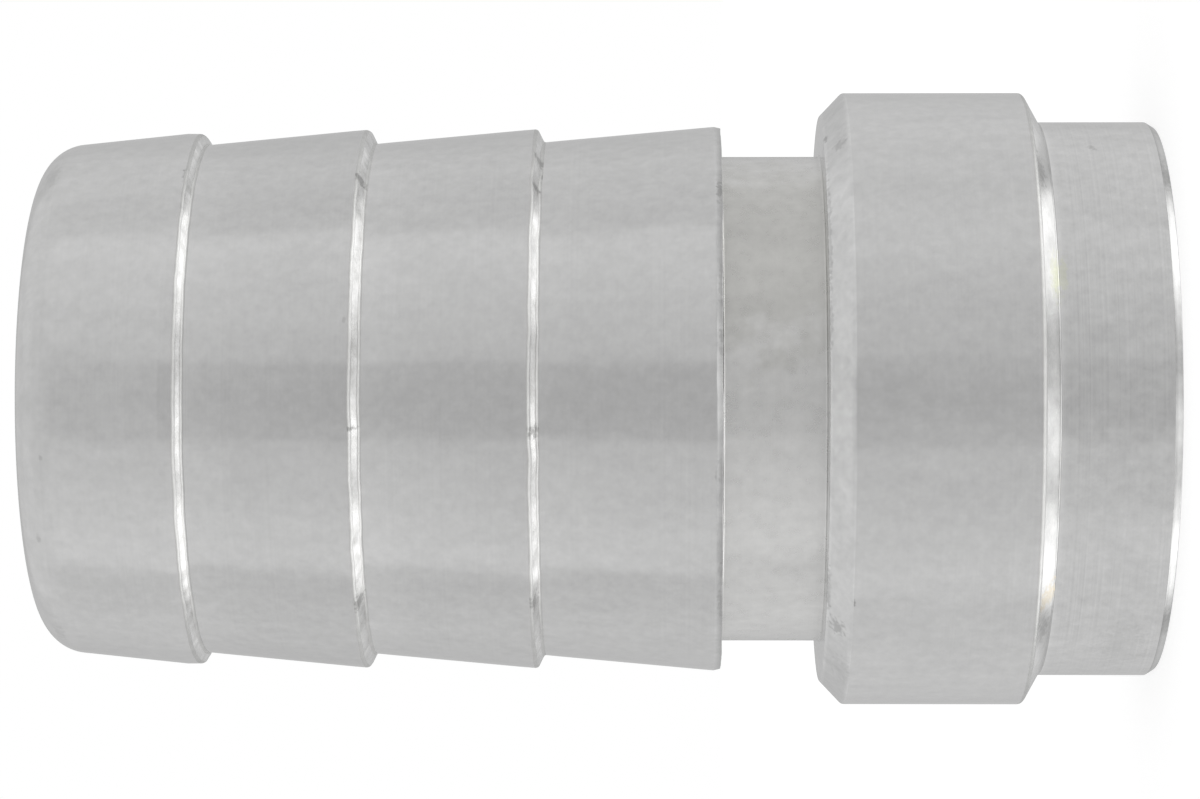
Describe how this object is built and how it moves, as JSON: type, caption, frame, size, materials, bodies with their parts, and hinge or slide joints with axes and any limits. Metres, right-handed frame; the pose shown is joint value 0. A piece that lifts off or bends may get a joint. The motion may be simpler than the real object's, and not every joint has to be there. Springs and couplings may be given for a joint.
{
  "type": "weld-on hose barb",
  "caption": "Turned steel tube fitting: barbed end for a push-on hose, short neck, collar with crowned shoulders, plain spigot for welding, and a straight through bore.",
  "frame": {"origin": "centre of the flat weld face, on the axis, which is the bottom centre of the part", "axes": "+Z along the axis, from the weld end towards the nose; X and Y are any two directions square to it"},
  "size_m": [0.0318, 0.0318, 0.0573],
  "materials": {
    "steel": "bare, finely turned, satin"
  },
  "bodies": {
    "root": {"hose_barb": "steel"}
  },
  "joints": []
}
